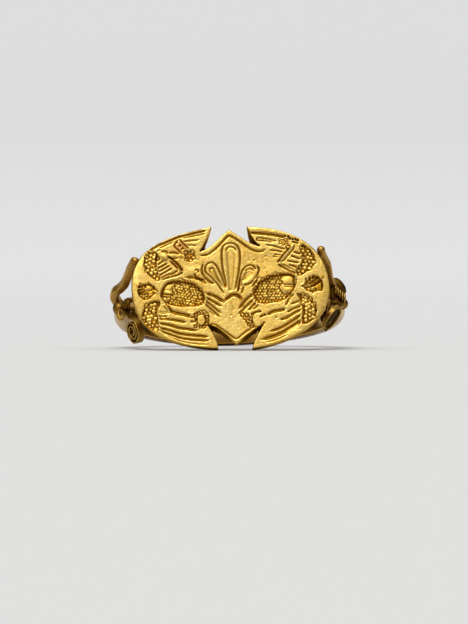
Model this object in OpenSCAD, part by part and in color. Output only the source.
// Gold seal ring lying on its side: a plain hoop, a notched bezel plate with a sunk design, and a wire stem
// and a ribbon volute on each shoulder. Millimetres, +Z up, floor at Z = 0, the plate faces -Y.
// The ring is drawn upright, with the finger along Z, then laid on two wing tips and the hoop's back edge.

/* [Hoop] */
// Radius of the finger hole
bore_r = 10; // [9.9:0.05:10.05]
// Thickness of the hoop, from the finger hole outwards
hoop_thick = 1.5; // [1.4:0.05:1.5]
// Width of the hoop, along the finger, at its back
hoop_w = 1.8; // [1.6:0.1:2]
// Width of the hoop where it meets the bezel
hoop_front_w = 1.1; // [1:0.1:1.4]
// How far the rounded outside of the hoop stands above its side faces
hoop_crown = 0.5; // [0.4:0.05:0.6]
// Degrees that the hoop sits out of square with the bezel, right side up
hoop_roll = 1.3; // [0:0.1:1.5]
// How far the hoop sits to the left of the bezel's middle
hoop_left = 0.12; // [0:0.02:0.2]

/* [Bezel] */
// Width of the bezel plate, from side to side
plate_w = 19.4; // [19:0.1:19.8]
// Height of the bezel plate, over its wing tips
plate_h = 12.2; // [11.8:0.1:12.6]
// Thickness of the bezel plate
plate_t = 1; // [1:0.05:1.2]
// Distance from the finger hole's middle to the back of the bezel plate
plate_back = 10.7; // [10.7:0.05:10.8]

/* [Intaglio] */
// Depth of the sunk bodies and heads
field_depth = 0.4; // [0.3:0.05:0.5]
// Depth of the wings' scale fields and of the petals' hollows
shallow_depth = 0.22; // [0.15:0.01:0.3]
// Depth of the engraved lines
line_depth = 0.16; // [0.1:0.01:0.25]
// Width of the engraved lines
line_w = 0.26; // [0.2:0.01:0.35]

/* [Shoulders] */
// Radius of the upper stems where they leave the hoop
stem_root_r = 0.47; // [0.4:0.01:0.5]
// Radius of the upper stems at the plate
stem_tip_r = 0.35; // [0.3:0.01:0.4]
// Outer radius of the lower volutes
volute_r = 1.33; // [1.25:0.01:1.36]
// Width of the volutes' ribbon
ribbon_w = 0.9; // [0.8:0.05:1]
// Thickness of the volutes' ribbon
ribbon_t = 0.3; // [0.26:0.01:0.34]
// Turns of ribbon in each volute
volute_turns = 2.5; // [2:0.5:2.5]

/* [Hidden] */
gold = "#d2a63c";
old_gold = "#8f6f35";

// The chart that the bezel is drawn on is for a plate of this width and height
chart_w = 19.4;
chart_h = 12.2;

// What a cutting shape reaches past the face that it opens
over = 1;
bore_depth = 20;
// Where the hoop starts to narrow towards the bezel
taper_y = -2;
// How far the ribbon's edge stands above a volute's core, at its ends and round it
spiral_rise = 0.12;
core_inset = 0.06;
// Thickness of the ribbon's standing edge and of the straps, and the radius where the spiral ends, as shares
edge_share = 0.62;
strap_share = 1.3;
spiral_eye = 0.15;
// An engraved line's width at its two ends, as a share of its width in the middle
line_end = 0.25;
// How far a petal's hollow keeps from its outline at the tip and at the foot, as shares of the rim beside it
hollow_tip = 1.1;
hollow_foot = 3;
arc_steps = 10;
wing_steps = 12;
edge_steps = 4;
line_steps = 3;
tube_sides = 10;
spiral_step = 20;
dish_step = 15;
dish_angles = [20, 45, 68, 90];

hoop_r = bore_r + hoop_thick;
side_r = hoop_r - hoop_crown;
crown_r = (hoop_crown * hoop_crown + hoop_w * hoop_w / 4) / (2 * hoop_crown);
crown_angle = asin(hoop_w / 2 / crown_r);
plate_front = plate_back + plate_t;

// The ring lies on the back edges of its wing tips and on the lower edge of the hoop, behind
tilt = atan((plate_h / 2 - hoop_w / 2) / (plate_back + side_r));
rest_z = side_r * norm([sin(tilt), sin(hoop_roll) * cos(tilt)]) + hoop_w / 2 * cos(tilt);

// Widest reach to the left and right, which centres the ring over the origin
left_reach = 12;
right_reach = 11.65;
front_reach = plate_front * cos(tilt) + plate_h / 2 * sin(tilt);
back_reach = hoop_r * cos(tilt);

// Columns: corner, first handle, second handle, steps. The edge runs to the next row's corner.
outline = [
    [[-1.90, 6.10], [-6.20, 5.20], [-9.70, 4.00], wing_steps],
    [[-9.70, 0.25], [-9.75, -4.10], [-6.40, -5.90], wing_steps],
    [[-1.20, -6.10], [-1.20, -5.30], [-1.80, -4.40], edge_steps],
    [[-2.19, -3.78], [-1.30, -3.70], [0.10, -5.10], edge_steps],
    [[0.66, -5.48], [1.50, -4.90], [2.50, -4.00], edge_steps],
    [[3.12, -3.78], [2.70, -4.60], [2.20, -5.50], edge_steps],
    [[2.10, -6.10], [6.80, -5.40], [9.50, -3.00], wing_steps],
    [[9.70, -0.25], [9.70, 4.00], [6.30, 6.10], wing_steps],
    [[1.59, 6.10], [1.90, 5.30], [2.30, 4.40], edge_steps],
    [[2.83, 4.18], [2.00, 4.20], [0.60, 5.40], edge_steps],
    [[-0.17, 5.80], [-1.20, 5.00], [-1.90, 3.90], edge_steps],
    [[-2.97, 3.64], [-2.50, 4.40], [-2.00, 5.40], edge_steps]
];

// Sunk bodies and heads. Columns: middle, half length, half height, turn in degrees.
dishes = [
    [[-4.60, -0.45], 2.15, 1.35, -8],
    [[4.40, 0.10], 2.30, 1.30, 17],
    [[-8.10, -0.30], 1.20, 0.95, -6],
    [[7.95, 0.45], 1.15, 0.95, 8]
];

// Scale fields at the root of each wing: the corners of a rounded outline
scale_fields = [
    [[-8.10, 3.75], [-8.45, 2.70], [-8.15, 1.60], [-7.20, 0.95], [-7.00, 2.00], [-7.00, 3.20], [-7.40, 3.80]],
    [
        [-7.70, -1.30], [-8.55, -1.90], [-8.60, -3.10], [-7.90, -4.00], [-7.10, -4.10], [-7.00, -2.80],
        [-7.00, -1.50]
    ],
    [[6.50, 4.90], [7.70, 4.30], [8.35, 3.10], [7.90, 2.00], [6.80, 1.50], [6.95, 2.60], [7.00, 3.80]],
    [[6.50, -0.40], [7.60, -0.60], [8.40, -1.80], [8.10, -3.10], [7.10, -3.50], [6.95, -2.40], [6.90, -1.20]]
];

// Petals of the palmette. Columns: foot, tip, half width of the outline, half width of the hollow.
petals = [
    [[0.10, -0.30], [0.08, 4.70], 0.85, 0.50],
    [[-0.45, -0.60], [-2.20, 2.60], 0.62, 0.30],
    [[0.85, -0.30], [2.35, 2.35], 0.55, 0.28]
];

// Engraved lines. Columns: width as a share of line_w, depth as a share of line_depth, points.
lines = [
    // The lozenge's borders and the mound under the palmette
    [1.0, 1.0, [[-3.10, 3.30], [-2.40, 3.45], [-1.75, 4.00], [-1.00, 4.80], [-0.15, 5.50]]],
    [1.0, 1.0, [[-0.15, 5.50], [0.60, 5.05], [1.45, 4.45], [2.15, 4.00], [3.60, 4.00]]],
    [1.0, 1.0, [[-1.85, -3.45], [-1.00, -3.80], [0.00, -4.65], [0.60, -5.00]]],
    [1.0, 1.0, [[0.60, -5.00], [1.15, -4.50], [1.95, -3.95]]],
    [1.1, 1.2, [[-0.75, -1.50], [-0.15, -0.70], [0.25, -0.50], [0.70, -0.55], [1.05, -1.15]]],
    // Left figure: upper wing
    [1.0, 1.2, [[-7.80, 4.05], [-5.85, 4.95], [-3.90, 5.60], [-2.55, 5.95]]],
    [1.0, 1.0, [[-5.20, 4.95], [-2.45, 5.60]]],
    [0.8, 1.0, [[-4.60, 4.70], [-2.90, 4.95]]],
    [1.2, 1.2, [[-6.65, 3.95], [-5.85, 3.25], [-5.05, 2.55], [-4.60, 1.80]]],
    [1.2, 1.2, [[-4.60, 1.80], [-5.25, 1.45], [-6.05, 1.15], [-6.80, 0.85]]],
    [0.9, 1.0, [[-6.80, 2.55], [-6.00, 3.00]]],
    [0.9, 1.0, [[-6.80, 1.95], [-5.60, 2.50]]],
    [0.9, 1.0, [[-6.60, 1.35], [-5.20, 1.95]]],
    [1.6, 1.2, [[-5.55, 4.30], [-4.90, 3.95], [-4.20, 3.30]]],
    // Left figure: lower wing
    [1.1, 1.2, [[-6.90, -1.20], [-6.15, -1.95], [-5.35, -2.35], [-3.90, -2.65], [-2.90, -2.65]]],
    [1.0, 1.0, [[-6.90, -2.90], [-5.35, -3.10], [-3.90, -3.35]]],
    [1.2, 1.2, [[-6.90, -3.35], [-5.85, -3.75], [-4.20, -4.00], [-2.90, -4.15]]],
    [1.2, 1.2, [[-6.80, -3.90], [-5.35, -4.35], [-3.90, -4.70], [-1.95, -4.80]]],
    [1.0, 1.0, [[-5.35, -4.85], [-3.90, -5.20], [-1.65, -5.30]]],
    // Left figure: tail
    [1.2, 1.1, [[-2.35, -0.40], [-1.45, -0.75], [-0.80, -1.25]]],
    [0.9, 1.0, [[-2.25, -0.95], [-1.15, -1.50], [-0.75, -1.80]]],
    [0.9, 1.0, [[-2.35, -1.35], [-1.55, -1.85], [-0.80, -2.60]]],
    [0.9, 1.0, [[-2.35, -1.80], [-1.75, -2.25], [-1.05, -2.85]]],
    // Right figure: upper wing
    [1.0, 1.2, [[1.95, 5.70], [3.10, 5.62], [4.40, 5.38], [5.40, 5.15]]],
    [1.0, 1.0, [[2.65, 5.10], [3.90, 4.95], [4.85, 4.70]]],
    [0.9, 1.0, [[3.50, 4.50], [5.40, 4.05]]],
    [0.8, 1.0, [[3.90, 3.95], [4.95, 3.70]]],
    [1.2, 1.2, [[5.95, 4.45], [5.45, 3.85], [4.95, 3.25], [4.65, 2.60]]],
    [1.2, 1.2, [[4.65, 2.60], [5.15, 2.25], [5.65, 1.95], [6.15, 1.70]]],
    [0.9, 1.0, [[5.95, 3.40], [6.80, 3.10]]],
    [0.9, 1.0, [[5.60, 2.95], [6.75, 2.60]]],
    // Right figure: lower wing
    [1.1, 1.2, [[6.35, -0.30], [5.65, -1.10], [5.30, -1.80]]],
    [1.1, 1.2, [[5.20, -2.05], [4.50, -2.10], [3.70, -2.50]]],
    [0.9, 1.0, [[6.80, -1.95], [5.65, -2.55], [4.80, -3.15]]],
    [1.0, 1.0, [[6.80, -2.45], [5.65, -3.15], [3.90, -4.25]]],
    [1.3, 1.3, [[6.80, -3.15], [5.85, -3.85], [4.85, -4.45], [3.00, -5.05]]],
    [0.9, 1.0, [[6.60, -4.00], [5.60, -4.60], [4.40, -5.25]]],
    // Right figure: tail
    [1.2, 1.1, [[2.15, -0.20], [1.55, -0.85], [0.90, -1.80]]],
    [0.9, 1.0, [[2.10, -1.00], [1.05, -2.20]]],
    [0.9, 1.0, [[2.45, -1.40], [1.25, -2.50]]]
];

// Flower heads under the tails: the dots round each. Columns: middle, half width, half height.
flowers = [
    [[-2.85, -3.05], 0.62, 0.75],
    [[2.35, -2.95], 0.62, 0.65]
];
flower_dots = 9;
dot_r = 0.15;

// Middle lines of the shoulders' stems and straps on the upright ring, from the hoop to the plate or volute
left_stem = [
    [-10.95, -1.30, 0.45], [-11.44, -2.10, 0.90], [-11.57, -3.10, 1.13], [-11.35, -4.10, 1.32],
    [-10.89, -4.90, 1.45], [-10.45, -5.90, 1.68], [-10.23, -7.10, 2.02], [-10.05, -8.30, 2.37],
    [-9.73, -9.50, 2.71], [-9.35, -10.40, 3.05], [-8.95, -10.85, 3.00], [-8.60, -11.00, 2.75]
];
right_stem = [
    [10.75, -2.20, 0.50], [10.95, -3.10, 1.15], [10.75, -4.10, 1.60], [10.35, -4.90, 1.85],
    [10.09, -5.60, 2.07], [9.83, -6.50, 2.40], [9.68, -7.50, 2.84], [9.48, -8.50, 3.17],
    [9.17, -9.50, 3.56], [8.90, -10.40, 3.90], [8.50, -10.90, 3.85], [8.15, -11.05, 3.55]
];
left_strap = [
    [-10.80, -3.20, -0.10], [-10.95, -3.80, -0.30], [-10.50, -4.90, -0.85], [-9.95, -5.90, -1.60],
    [-9.65, -6.60, -2.10]
];
right_strap = [
    [10.75, -2.90, 0.20], [10.85, -3.70, -0.05], [10.60, -4.70, -0.25], [10.15, -5.50, -0.45]
];

// Rolled ribbons. Columns: middle, turn of the roll's axis about Z, its lean below level, which way it winds.
left_volute = [[-9.40, -6.46, -3.28], -160, 18, -1];
right_volute = [[9.78, -5.95, -1.70], -5, 26, 1];

// Knobs on the hoop's shoulders, and a short curl beside the left volute. Columns: middle, radius.
knobs_left = [[[-10.95, -3.00, -0.08], 0.75], [[-10.20, -5.30, -0.10], 0.48]];
knobs_right = [[[10.60, -4.10, 1.62], 0.72], [[11.05, -2.60, 0.40], 0.60]];
left_curl = [[-10.88, -4.40, -1.14], 0.36];

// The wire wound round the root of the right stem. Columns: middle, turn about Z, turns of wire.
right_binding = [[10.55, -4.25, 0.95], 22, 4];
binding_r = 0.6;
rib_r = 0.15;
rib_pitch = 0.3;

function on_plate(p) = [p[0] * plate_w / chart_w, p[1] * plate_h / chart_h];

function bezier(a, b, c, d, t) =
    pow(1 - t, 3) * a + 3 * pow(1 - t, 2) * t * b + 3 * (1 - t) * t * t * c + pow(t, 3) * d;

function outline_points() = [
    for (i = [0:len(outline) - 1])
        let (edge = outline[i], next = outline[(i + 1) % len(outline)])
            for (k = [0:edge[3] - 1]) on_plate(bezier(edge[0], edge[1], edge[2], next[0], k / edge[3]))
];

// A smooth curve through the points a, b, c and d, between b and c
function between(a, b, c, d, t) =
    0.5 * (2 * b + (c - a) * t + (2 * a - 5 * b + 4 * c - d) * t * t + (3 * b - a - 3 * c + d) * t * t * t);

function at(p, i) = p[max(0, min(len(p) - 1, i))];

function smooth(p, steps) = concat(
    [
        for (i = [0:len(p) - 2])
            for (k = [0:steps - 1]) between(at(p, i - 1), p[i], p[i + 1], at(p, i + 2), k / steps)
    ],
    [p[len(p) - 1]]
);

function smooth_loop(p, steps) =
    let (n = len(p)) [
        for (i = [0:n - 1])
            for (k = [0:steps - 1])
                between(p[(i + n - 1) % n], p[i], p[(i + 1) % n], p[(i + 2) % n], k / steps)
    ];

function unit(v) = v / norm(v);

function heading(p, i) = unit(at(p, i + 1) - at(p, i - 1));

function beside(p, i, half) = let (h = heading(p, i)) p[i] + half * [-h[1], h[0]];

// An engraved line is widest in its middle and runs out at both ends
function burr(i, n, half) = half * (line_end + (1 - line_end) * sqrt(sin(180 * i / n)));

function line_outline(points, half) =
    let (p = smooth(points, line_steps), n = len(p) - 1)
        concat(
            [for (i = [0:n]) beside(p, i, burr(i, n, half))],
            [for (i = [n:-1:0]) beside(p, i, -burr(i, n, half))]
        );

// A petal's outline: a point at its foot that swells to a round end
function petal_points(foot, tip, half, shrink) =
    let (
        along = tip - foot,
        far = norm(along) - shrink,
        near = shrink * hollow_foot,
        way = unit(along),
        side = [-way[1], way[0]],
        middle = far - half
    ) concat(
        [foot + way * near],
        [for (a = [-80:20:80]) foot + way * (middle + half * cos(a)) + side * half * sin(a)]
    );

module engrave(depth) {
    translate([0, 0, plate_t - depth]) linear_extrude(height = depth + over) children();
}

module plate() {
    linear_extrude(height = plate_t) polygon(outline_points());
}

// A closed solid whose skin runs through rings of points, one point of each ring over the next ring's
module skin(rings) {
    count = len(rings[0]);
    walls = [
        for (i = [0:len(rings) - 2])
            for (k = [0:count - 1])
                let (m = (k + 1) % count, a = i * count, b = a + count)
                    each [[a + k, a + m, b + m], [a + k, b + m, b + k]]
    ];
    first = [for (k = [count - 1:-1:0]) k];
    last = [for (k = [0:count - 1]) (len(rings) - 1) * count + k];
    polyhedron(points = [for (ring = rings) each ring], faces = concat(walls, [first, last]), convexity = 6);
}

// The oval outline of a dish at a share of its size, at a height above the plate's back
function dish_ring(row, share, height) = [
    for (a = [dish_step:dish_step:360])
        let (
            x = row[1] * share * cos(a),
            y = -row[2] * share * sin(a),
            p = on_plate(row[0] + [x * cos(row[3]) - y * sin(row[3]), x * sin(row[3]) + y * cos(row[3])])
        ) [p[0], p[1], height]
];

// A bowl sunk into the plate, as deep as field_depth in its middle
module dish(row) {
    skin(concat(
        [for (a = dish_angles) dish_ring(row, sin(a), plate_t - field_depth * cos(a))],
        [dish_ring(row, 1, plate_t + over)]
    ));
}

module petal(row) {
    difference() {
        engrave(line_depth) polygon([for (p = petal_points(row[0], row[1], row[2], 0)) on_plate(p)]);
        engrave(line_depth)
            polygon([for (p = petal_points(row[0], row[1], row[2] - line_w, line_w)) on_plate(p)]);
    }
    engrave(shallow_depth)
        polygon([for (p = petal_points(row[0], row[1], row[3], (row[2] - row[3]) * hollow_tip)) on_plate(p)]);
}

module flower(row) {
    for (i = [0:flower_dots - 1])
        let (a = i * 360 / flower_dots, p = on_plate(row[0] + [row[1] * cos(a), row[2] * sin(a)]))
            translate([p[0], p[1], plate_t - shallow_depth]) cylinder(r = dot_r, h = over, $fn = 24);
}

module intaglio() {
    for (row = dishes) dish(row);
    for (row = petals) petal(row);
    for (row = flowers) flower(row);
    for (field = scale_fields)
        engrave(shallow_depth) polygon([for (p = smooth_loop(field, line_steps)) on_plate(p)]);
    for (row = lines)
        engrave(line_depth * row[1])
            polygon([for (p = line_outline(row[2], line_w * row[0] / 2)) on_plate(p)]);
}

module bezel() {
    color(gold)
        translate([0, -plate_back, 0])
            rotate([90, 0, 0])
                difference() {
                    plate();
                    intaglio();
                }
}

// What the hoop keeps of its width, seen from its side: all of it behind, and less towards the bezel
module hoop_side() {
    rotate([90, 0, 90])
        linear_extrude(height = 2 * hoop_r + over, center = true)
            polygon([
                [hoop_r + over, -hoop_w], [hoop_r + over, hoop_w], [taper_y, hoop_w],
                [taper_y, hoop_w / 2], [-bore_r, hoop_front_w / 2], [-hoop_r - over, hoop_front_w / 2],
                [-hoop_r - over, -hoop_front_w / 2], [-bore_r, -hoop_front_w / 2], [taper_y, -hoop_w / 2],
                [taper_y, -hoop_w]
            ]);
}

// Sets the hoop and its hole a little askew and to the left, as the soldered bezel leaves them
module hoop_place() {
    translate([-hoop_left, 0, 0]) rotate([0, -hoop_roll, 0]) children();
}

module hoop() {
    color(gold)
        hoop_place()
            intersection() {
                rotate_extrude($fn = 180)
                    polygon(concat(
                        [[bore_r - over / 2, -hoop_w / 2]],
                        [
                            for (k = [0:arc_steps])
                                let (a = crown_angle * (2 * k / arc_steps - 1))
                                    [hoop_r - crown_r + crown_r * cos(a), crown_r * sin(a)]
                        ],
                        [[bore_r - over / 2, hoop_w / 2]]
                    ));
                hoop_side();
            }
}

// A ring of points round a path's point, wide along the side vector and high across it
function section(p, i, side, wide, high) =
    let (
        ahead = heading(p, i),
        across = unit(cross(side, ahead)),
        flat = unit(cross(ahead, across))
    ) [
        for (k = [0:tube_sides - 1])
            let (a = k * 360 / tube_sides) p[i] + flat * wide / 2 * cos(a) + across * high / 2 * sin(a)
    ];

function mix(a, b, share) = a + (b - a) * share;

// A closed bar of oval section along a smooth path. Its sizes are [wide, high] at the path's two ends.
module bar(path, side, root, tip) {
    p = smooth(path, line_steps);
    last = len(p) - 1;
    skin([
        for (i = [0:last])
            let (size = mix(root, tip, i / last)) section(p, i, side, size[0], size[1])
    ]);
}

function spiral_r(a) =
    volute_r - ribbon_t / 2 - (volute_r - ribbon_t) * a / (360 * volute_turns) * (1 - spiral_eye);

function spiral_edge(offset, winds) = [
    for (a = [0:spiral_step:360 * volute_turns])
        (spiral_r(a) + offset) * [winds * cos(a + 90), sin(a + 90)]
];

// A roll of ribbon: a solid core, with the ribbon's edge standing up on both ends as a spiral
module volute(row) {
    band = ribbon_t * edge_share;
    inner = spiral_edge(-band / 2, row[3]);
    outer = spiral_edge(band / 2, row[3]);
    turns = len(inner) - 1;
    color(old_gold)
        translate(row[0])
            rotate([0, 0, row[1]])
                rotate([0, 90 + row[2], 0])
                    rotate([0, 0, 90]) {
                        cylinder(
                            r = volute_r - core_inset, h = ribbon_w - spiral_rise * 2, center = true, $fn = 64
                        );
                        linear_extrude(height = ribbon_w, center = true)
                            polygon(concat(outer, [for (i = [turns:-1:0]) inner[i]]));
                    }
}

module binding(row) {
    color(old_gold)
        translate(row[0])
            rotate([0, 0, row[1]])
                rotate([90, 0, 0]) {
                    cylinder(r = binding_r, h = rib_pitch * row[2], center = true, $fn = 48);
                    for (i = [0:row[2] - 1])
                        translate([0, 0, rib_pitch * (i - (row[2] - 1) / 2)])
                            rotate_extrude($fn = 48) translate([binding_r, 0]) circle(r = rib_r, $fn = 24);
                }
}

// The direction of a rolled ribbon's axis
function axis_of(row) = [cos(row[2]) * cos(row[1]), cos(row[2]) * sin(row[1]), -sin(row[2])];

module stem(path) {
    bar(path, [0, 0, 1], stem_root_r * [2, 2], stem_tip_r * [2, 2]);
    translate(path[len(path) - 1]) sphere(r = stem_tip_r, $fn = 24);
}

module knob(row) {
    translate(row[0]) sphere(r = row[1], $fn = 32);
}

module strap(path, roll) {
    bar(path, axis_of(roll), [ribbon_w, ribbon_t * strap_share], [ribbon_w, ribbon_t * strap_share]);
}

module left_shoulder() {
    color(old_gold) {
        stem(left_stem);
        strap(left_strap, left_volute);
        for (row = knobs_left) knob(row);
        translate(left_curl[0])
            rotate([0, 0, left_volute[1]])
                rotate([0, 90 + left_volute[2], 0])
                    cylinder(r = left_curl[1], h = ribbon_w, center = true, $fn = 32);
    }
    volute(left_volute);
}

module right_shoulder() {
    color(old_gold) {
        stem(right_stem);
        strap(right_strap, right_volute);
        for (row = knobs_right) knob(row);
    }
    volute(right_volute);
    binding(right_binding);
}

module finger_hole() {
    hoop_place() cylinder(r = bore_r, h = bore_depth, center = true, $fn = 180);
}

module upright_ring() {
    difference() {
        union() {
            hoop();
            bezel();
            left_shoulder();
            right_shoulder();
        }
        finger_hole();
    }
}

module ring() {
    translate([(left_reach - right_reach) / 2, (front_reach - back_reach) / 2, rest_z])
        rotate([-tilt, 0, 0])
            upright_ring();
}

ring();
